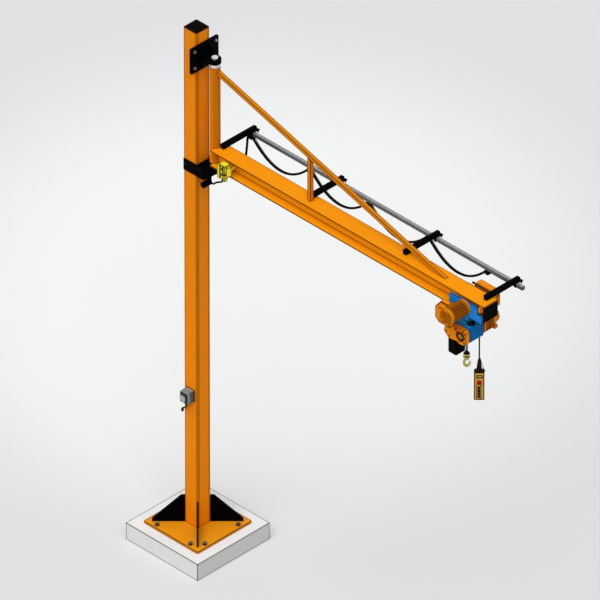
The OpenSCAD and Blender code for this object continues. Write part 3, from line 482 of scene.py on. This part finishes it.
def tow_strip(g):
    """The strip that lies on the control box, below the tow arm's rod."""
    z = g.coordinate("Z")
    box_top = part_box("control_box")[1].z
    near = g.below(g.coordinate("Y"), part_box("tow_arm")[0].y + STRIP_REACH)
    return g.both(g.above(z, box_top - STRIP_BELOW), g.below(z, box_top + STRIP_ABOVE), near)


def left_stop(g):
    """The stop at the column's end of the beam."""
    return g.below(g.coordinate("X"), middle_of("travel_stops").x)


# A dark stripe runs along each half of the rail's top, between these distances from its middle
STRIPE_IN = 0.0035
STRIPE_OUT = 0.0085


def rail_top(g):
    """The light stripes along the rail's top, between and beside two dark ones."""
    off = g.math("ABSOLUTE", g.math("SUBTRACT", g.coordinate("Y"), middle_of("supply_rail").y))
    light = g.either(g.below(off, STRIPE_IN), g.above(off, STRIPE_OUT))
    return g.both(g.above(g.facing("Z"), SIDE_ON, SOFT_TURN), light)


# Materials by slot, and then those of single pieces that differ
MATERIALS = {
    "concrete": cast_concrete("concrete", (0.865, 0.865, 0.86)),
    "black_paint": paint("black_paint", BLACK, rough=0.5, sheen=0.012),
    "black_plastic": moulded("black_plastic", BLACK, sheen=0.015),
    "zinc_steel": metal("zinc_steel", (0.34, 0.33, 0.30)),
    "bright_steel": metal("bright_steel", (0.80, 0.81, 0.83), rough=0.25),
    "yellow_plastic": moulded("yellow_plastic", (0.86, 0.74, 0.025)),
    "cable_rubber": moulded("cable_rubber", BLACK, rough=0.55, sheen=0.02),
    "cable_grey": moulded("cable_grey", (0.16, 0.17, 0.18), rough=0.55),
    "blue_paint": paint("blue_paint", BLUE, rough=0.3, sheen=0.1),
    "hoist_orange": paint("hoist_orange", ORANGE, rough=0.33),
    "black_steel": metal("black_steel", (0.02, 0.02, 0.022), metallic=0.3),
}
OWN_MATERIALS = {
    "column": paint("column_paint", ORANGE, marks=[(corners, shade(ORANGE, 0.56))]),
    # The mast's darker tone and its darker right side are painted shade
    "jib_mast": paint("mast_paint_shaded", shade(ORANGE, 0.86), marks=[(mast_shaded_side, shade(ORANGE, 0.62))]),
    # The beam's sides and underside get painted light; web_root is a painted shadow line
    "jib_beam": paint(
        "beam_paint", (0.955, 0.315, 0.002),
        marks=[(painted_light_under_flange, (0.95, 0.385, 0.004)), (web_root, (0.55, 0.17, 0.001))],
    ),
    # The tie bar and strut get the orange made darker: painted shade
    "tie_bar": paint("tie_paint_shaded", (0.72, 0.225, 0.004)),
    "tie_strut": paint("strut_paint_shaded", (0.76, 0.225, 0.004)),
    "base_plate": paint("plate_paint", (0.86, 0.315, 0.008)),
    "anchor_bolts": metal(
        "nut_zinc", (0.035, 0.03, 0.025), metallic=0.3,
        marks=[(upward, (0.46, 0.38, 0.20))],
    ),
    "travel_stops": paint("stop_paint", ORANGE, marks=[(left_stop, BLACK)]),
    "supply_rail": metal(
        "rail_steel", (0.11, 0.115, 0.12), stretch=(900, 40, 40), metallic=0.3,
        marks=[(rail_top, (0.82, 0.83, 0.84))],
    ),
    "tow_arm": paint(
        "arm_paint", BLACK, rough=0.5, sheen=0.012,
        marks=[(tow_strip, (0.42, 0.13, 0.012))],
    ),
    "isolator_box": moulded(
        "isolator_shell", (0.29, 0.34, 0.34),
        marks=[
            # The dark top and its light bands are painted shade and light of the moulded ribs
            (upward, (0.07, 0.075, 0.08)),
            (rib_light_bands, (0.42, 0.45, 0.48)),
            (cover_front, (0.05, 0.052, 0.055)),
            (back_plate, (0.62, 0.42, 0.30)),
            (side_groove, (0.01, 0.01, 0.01)),
            (cover_side, (0.34, 0.36, 0.34)),
            (inlet, BLACK),
        ],
    ),
    # The lever's light grey is a painted highlight
    "isolator_handle": metal("isolator_knob", (0.06, 0.06, 0.062), marks=[(lever_highlight, (0.55, 0.56, 0.57))]),
    # The motor's darker tone, its fin channels and its cowl holes are painted shade
    "travel_motor": paint(
        "motor_paint_shaded", shade(ORANGE, 0.78), rough=0.35,
        marks=[(fin_gap_shade, (0.03, 0.008, 0.001)), (grille_hole_shade, DEEP)],
    ),
    # Painted shade in the cover's recess, and painted light on its boss
    "gear_cover": paint(
        "cover_paint", ORANGE, rough=0.33,
        marks=[(cover_recess_shade, (0.09, 0.03, 0.006)), (cover_boss_lit, (0.86, 0.48, 0.10))],
    ),
    # The lighter blue on the hoist's top faces is painted light
    "hoist_body": paint(
        "hoist_blue", BLUE, rough=0.3, sheen=0.1,
        marks=[(upward, (0.012, 0.46, 1.0)), (hoist_cap, BLACK)],
    ),
    "pendant": moulded(
        "pendant_shell", (0.62, 0.34, 0.03),
        marks=[(shell_rim, (0.02, 0.012, 0.004)), (boot, BLACK)],
    ),
    "pendant_buttons": moulded(
        "pendant_keys", BLACK, sheen=0.05,
        marks=[(stop_button, (0.40, 0.006, 0.004))],
    ),
    "hook_block": paint("block_paint", (0.72, 0.62, 0.14), marks=[(block_top, BLACK), (block_groove, DEEP)]),
    "load_hook": paint("hook_paint", (0.50, 0.46, 0.12)),
}

# ---- Dark strips along the sharp edges: colour and width by material slot, and other widths by node ----

EDGES = {
    "concrete": ((0.24, 0.24, 0.23), 0.0065),
    "orange_paint": (shade(ORANGE, 0.27), 0.0046),
    "hoist_orange": (shade(ORANGE, 0.15), 0.0035),
    "blue_paint": (shade(BLUE, 0.15), 0.0040),
    "yellow_plastic": ((0.035, 0.03, 0.008), 0.0042),
    "pendant_yellow": ((0.012, 0.008, 0.003), 0.0080),
    "hook_yellow": ((0.03, 0.028, 0.008), 0.0030),
    "grey_housing": ((0.02, 0.02, 0.022), 0.0025),
    "pale_plastic": ((0.20, 0.20, 0.21), 0.0015),
    "zinc_steel": ((0.05, 0.045, 0.04), 0.0020),
}
WIDTHS = {
    "column": 0.0055,
    "base_plate": 0.0070,
    "tie_bar": 0.0055,
    "tie_strut": 0.0065,
    "travel_motor": 0.0012,
    "hoist_body": 0.0022,
    "pendant": 0.0028,
    "anchor_bolts": 0.0015,
}


def link_piece(name, mesh, material, body, smooth=True):
    """Adds a visible piece, which rides on the body if one is given."""
    made = bpy.data.objects.new(name, mesh)
    bpy.context.scene.collection.objects.link(made)
    mesh.materials.append(material)
    if smooth:
        mesh.polygons.foreach_set("use_smooth", [True] * len(mesh.polygons))
    if body:
        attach(made, body)
    return made


# Edges sharper than SHARP get strips, which stand LIFT off the faces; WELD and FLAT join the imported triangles
SHARP = math.radians(38)
LIFT = 0.0002
WELD = 0.00001
FLAT = math.radians(0.5)


def edge_strips(name, source, width):
    """A mesh of narrow strips that lie on the faces at both sides of each sharp edge."""
    shape = bmesh.new()
    shape.from_mesh(source)
    bmesh.ops.remove_doubles(shape, verts=shape.verts, dist=WELD)
    bmesh.ops.dissolve_limit(shape, angle_limit=FLAT, verts=shape.verts, edges=shape.edges)
    strips = bmesh.new()
    for edge in shape.edges:
        if len(edge.link_loops) != 2 or edge.calc_face_angle(0) < SHARP:
            continue
        for loop in edge.link_loops:
            low, high, up = loop.vert.co, loop.link_loop_next.vert.co, loop.face.normal
            inward = up.cross(high - low).normalized()
            room = max(inward.dot(v.co - low) for v in loop.face.verts)
            step = inward * min(width, room)
            ring = (low, high, high + step, low + step)
            strips.faces.new([strips.verts.new(point + LIFT * up) for point in ring])
    mesh = bpy.data.meshes.new(name)
    strips.to_mesh(mesh)
    strips.free()
    shape.free()
    return mesh


def dress_nodes():
    """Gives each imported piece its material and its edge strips."""
    bodies = frame["record"]["behaviour"]["bodies"]
    body_of = {node: body for body, nodes in bodies.items() for node in nodes}
    strip_paint = {slot: paint(slot + "_edge", colour, rough=0.5) for slot, (colour, width) in EDGES.items()}
    for part in frame["record"]["subparts"]:
        name = part["node"]
        slot = part["material_slot"]
        node = NODES[name]
        node.data.materials.clear()
        node.data.materials.append(OWN_MATERIALS.get(name) or MATERIALS[slot])
        if slot in EDGES:
            strips = edge_strips(name + "_edges", node.data, WIDTHS.get(name, EDGES[slot][1]))
            link_piece(name + "_edges", strips, strip_paint[slot], body_of[name], smooth=False)


dress_nodes()

# ---- Cords ----


def smooth_route(points, steps):
    """More points on a smooth line through the given ones."""
    points = [Vector(p) for p in points]
    out = []
    for i in range(len(points) - 1):
        a, b, c, d = points[max(i - 1, 0)], points[i], points[i + 1], points[min(i + 2, len(points) - 1)]
        for k in range(steps):
            t = k / steps
            bend = ((c - a) / 2 - (c - b)) * t * (1 - t) ** 2 - ((d - b) / 2 - (c - b)) * t * t * (1 - t)
            out.append(b.lerp(c, t) + bend)
    out.append(points[-1])
    return out


def tube_mesh(name, route, radius, sides=14):
    """A closed tube along a route."""
    mesh = bpy.data.meshes.new(name)
    shape = bmesh.new()
    rings = []
    up = None
    for i, point in enumerate(route):
        along = (route[min(i + 1, len(route) - 1)] - route[max(i - 1, 0)]).normalized()
        if up is None:
            up = along.orthogonal().normalized()
        up = (up - along * up.dot(along)).normalized()
        side = along.cross(up)
        rings.append([
            shape.verts.new(point + radius * (math.cos(a) * up + math.sin(a) * side))
            for a in (2 * math.pi * k / sides for k in range(sides))
        ])
    for low, high in zip(rings, rings[1:]):
        for k in range(sides):
            n = (k + 1) % sides
            shape.faces.new((low[k], low[n], high[n], high[k]))
    shape.faces.new(rings[0][::-1])
    shape.faces.new(rings[-1])
    bmesh.ops.recalc_face_normals(shape, faces=shape.faces)
    shape.to_mesh(mesh)
    shape.free()
    return mesh


def cord_piece(name, points, diameter, body, slot_name, steps=3, **facts):
    """A round cord along the points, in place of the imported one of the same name."""
    route = smooth_route(points, steps)
    made = link_piece(name, tube_mesh(name, route, diameter / 2), MATERIALS[slot_name], body)
    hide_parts(name.replace("_run", ""))
    return made


# The festoon: the fixed end's X, its loops, and where its cable and its wire run over the saddles
FEED_X = 0.265
LOOPS = 4
PITCH = 0.664
SAG = 0.160
CABLE_Y = 0.349
CABLE_Z = 3.9237
WIRE_Y = 0.370
WIRE_Z = 3.9167
# Half a loop's length, a saddle's reach, where its curve starts from the loop's middle, and how deep it is
SPAN = PITCH / 2
REACH = 0.036
SADDLE_START = SPAN - 0.75 * REACH
SADDLE_DROP = 0.32 * REACH
# Distances from a saddle at which the route has points, for half a loop and a whole one
HALF = [0, 0.011, 0.022, 0.036, 0.065, 0.105, 0.155, 0.210, 0.270]
LOOP = HALF + [SPAN] + [PITCH - x for x in HALF[:0:-1]]
# The undersides of the beam and the hoist's body, and the pendant's cable
BEAM_LOW = 3.828
PENDANT_X = 3.111
PENDANT_Y = 0.070
HOIST_LOW = 3.557
PENDANT_DROP = 0.25


def loop_height(away):
    """Height below the saddles, at a distance from the loop's middle."""
    if away < SADDLE_START:
        return -SADDLE_DROP - SAG * (1 - (away / SADDLE_START) ** 2)
    return -SADDLE_DROP * ((SPAN - away) / (SPAN - SADDLE_START)) ** 2


def festoon_route(y, z):
    """All the loops, from the fixed end to the towing trolley."""
    starts = [FEED_X + n * PITCH for n in range(LOOPS)]
    points = [(start + x, y, z + loop_height(abs(x - SPAN))) for start in starts for x in LOOP]
    return points + [(FEED_X + LOOPS * PITCH, y, z)]


def make_festoon():
    """The looped cable and the thin wire beside it, at one fixed length; on the crane they shorten as the
    hoist's trolley travels.
    """
    for name, y, z, diameter, slot_name in (
        ("festoon_cable", CABLE_Y, CABLE_Z, 0.020, "cable_rubber"),
        ("festoon_wire", WIRE_Y, WIRE_Z, 0.008, "cable_grey"),
    ):
        made = cord_piece(
            name + "_run", festoon_route(y, z), diameter, "jib", slot_name,
            far_end="object", stiffness="limp", lay="hanging",
        )
        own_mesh(made)


def make_feed_lead():
    """From the rail's fixed end down, back up and in to the beam's web; millimetres from the end's saddle."""
    lead = [
        (-2, 349, 0), (-12, 349, 0), (-25, 349, -8), (-34, 349, -22), (-38, 348, -40), (-39, 345, -75),
        (-36, 338, -115), (-26, 322, -150), (-6, 295, -170), (22, 260, -174), (50, 220, -164),
        (78, 175, -140), (97, 135, -100), (108, 100, -60), (112, 70, -42), (112, 40, -38), (112, 5, -38),
    ]
    cord_piece(
        "feed_lead_run", [(FEED_X + x / 1e3, y / 1e3, CABLE_Z + z / 1e3) for x, y, z in lead], 0.020, "jib",
        "cable_rubber", far_end="object", stiffness="limp", lay="hanging",
    )


def make_slew_cable():
    """Slack from the lower bracket to the terminal box; millimetres, heights from the beam's underside."""
    slack = [
        (173.5, -5, -232), (184, -7, -230), (200, -12, -222), (222, -23, -202), (248, -36, -176),
        (280, -50, -148), (315, -64, -122), (345, -77, -100), (372, -90, -78), (394, -104, -54),
        (406, -114, -34), (410, -118, -18),
    ]
    made = cord_piece(
        "slew_cable_run", [(x / 1e3, y / 1e3, BEAM_LOW + z / 1e3) for x, y, z in slack], 0.015, None,
        "cable_rubber", far_end="object", stiffness="limp", lay="loose",
    )
    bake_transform(made)


def make_pendant_cable():
    """Straight down from the hoist's underside to the pendant's boot."""
    pieces = 15
    points = [(PENDANT_X, PENDANT_Y, HOIST_LOW - PENDANT_DROP * k / pieces) for k in range(pieces + 1)]
    cord_piece(
        "pendant_cable_run", points, 0.012, "hoist",
        "cable_rubber", steps=1, far_end="fitting", stiffness="medium", lay="hanging",
        with_pieces=[NODES["pendant"], NODES["pendant_buttons"]],
    )


make_festoon()
make_feed_lead()
make_slew_cable()
make_pendant_cable()

# ---- Light, floor and background ----

SKY_LEVEL = 0.50
SUN_LEVEL = 0.604
SUN_WAY = Vector((-0.265, 0.497, -0.828))
SUN_SPREAD = math.radians(50)
# The background's colour, and the floor's painted shade away from its pool of light
BACKGROUND = (0.913, 0.931, 0.922)
CORNER = (0.760, 0.760, 0.776)


def shown_rays(g):
    """1 for the camera's rays, and for those of reflections and glass."""
    kinds = ("Is Camera Ray", "Is Glossy Ray", "Is Transmission Ray")
    path = g.node("LightPath")
    return g.either(*(path.outputs[kind] for kind in kinds))


def make_world():
    """An even white sky that the camera sees in the background's colour."""
    scene = bpy.context.scene
    scene.view_settings.view_transform = "Standard"
    scene.world = bpy.data.worlds.new("studio")
    g = Graph(scene.world)
    g.tree.nodes.clear()
    light = g.node("Background", {"Color": (1, 1, 1, 1), "Strength": SKY_LEVEL})
    shown = g.node("Background", {"Color": (*BACKGROUND, 1), "Strength": 1})
    mix = g.node("MixShader", {0: shown_rays(g), 1: light.outputs[0], 2: shown.outputs[0]})
    g.node("OutputWorld", {"Surface": mix.outputs[0]})


def make_sun():
    """One broad soft lamp, for the light and dark sides."""
    sun = bpy.data.lights.new("sun", "SUN")
    sun.energy = SUN_LEVEL * math.pi
    sun.angle = SUN_SPREAD
    lamp = bpy.data.objects.new("sun", sun)
    lamp.rotation_mode = "QUATERNION"
    lamp.rotation_quaternion = SUN_WAY.to_track_quat("-Z", "Y")
    bpy.context.scene.collection.objects.link(lamp)


FLOOR_HALF = 45.0
FLOOR_GAP = 0.0005
# The picture's right and down, as they run over the floor
RIGHT = (0.7064, 0.7064, 0)
DOWN = (0.408, -0.408, 0)
# A painted pool of light round the camera's view, the floor painted darker away from it: its middle to the
# right and down, its width by height, its fading
PATCH_RIGHT = 0.5008
PATCH_DOWN = -2.0032
PATCH_ASPECT = 1.5
PATCH_FADES = (1.04, 2.4)


def make_floor():
    """A pale floor with a painted pool of light round the camera's view, darker towards its far parts, that
    gives the object half the bounce it shows.
    """
    data = bpy.data.meshes.new("floor")
    shape = bmesh.new()
    bmesh.ops.create_grid(shape, x_segments=1, y_segments=1, size=FLOOR_HALF)
    shape.to_mesh(data)
    shape.free()
    floor = bpy.data.objects.new("floor", data)
    floor.location.z = -FLOOR_GAP
    g = Graph(bpy.data.materials.new("floor"))
    across = g.math("DIVIDE", g.math("SUBTRACT", g.along(RIGHT), PATCH_RIGHT), PATCH_ASPECT)
    down = g.math("SUBTRACT", g.along(DOWN), PATCH_DOWN)
    squares = [g.math("MULTIPLY", value, value) for value in (across, down)]
    away = g.math("SQRT", g.math("ADD", *squares))
    shown = g.mix(g.ramp(away, *PATCH_FADES), BACKGROUND, CORNER)
    g.set(Base_Color=g.mix(shown_rays(g), (0.5, 0.5, 0.5), shown), Roughness=1.0, Specular_IOR_Level=0.0)
    data.materials.append(g.owner)
    bpy.context.scene.collection.objects.link(floor)


make_world()
make_sun()
make_floor()
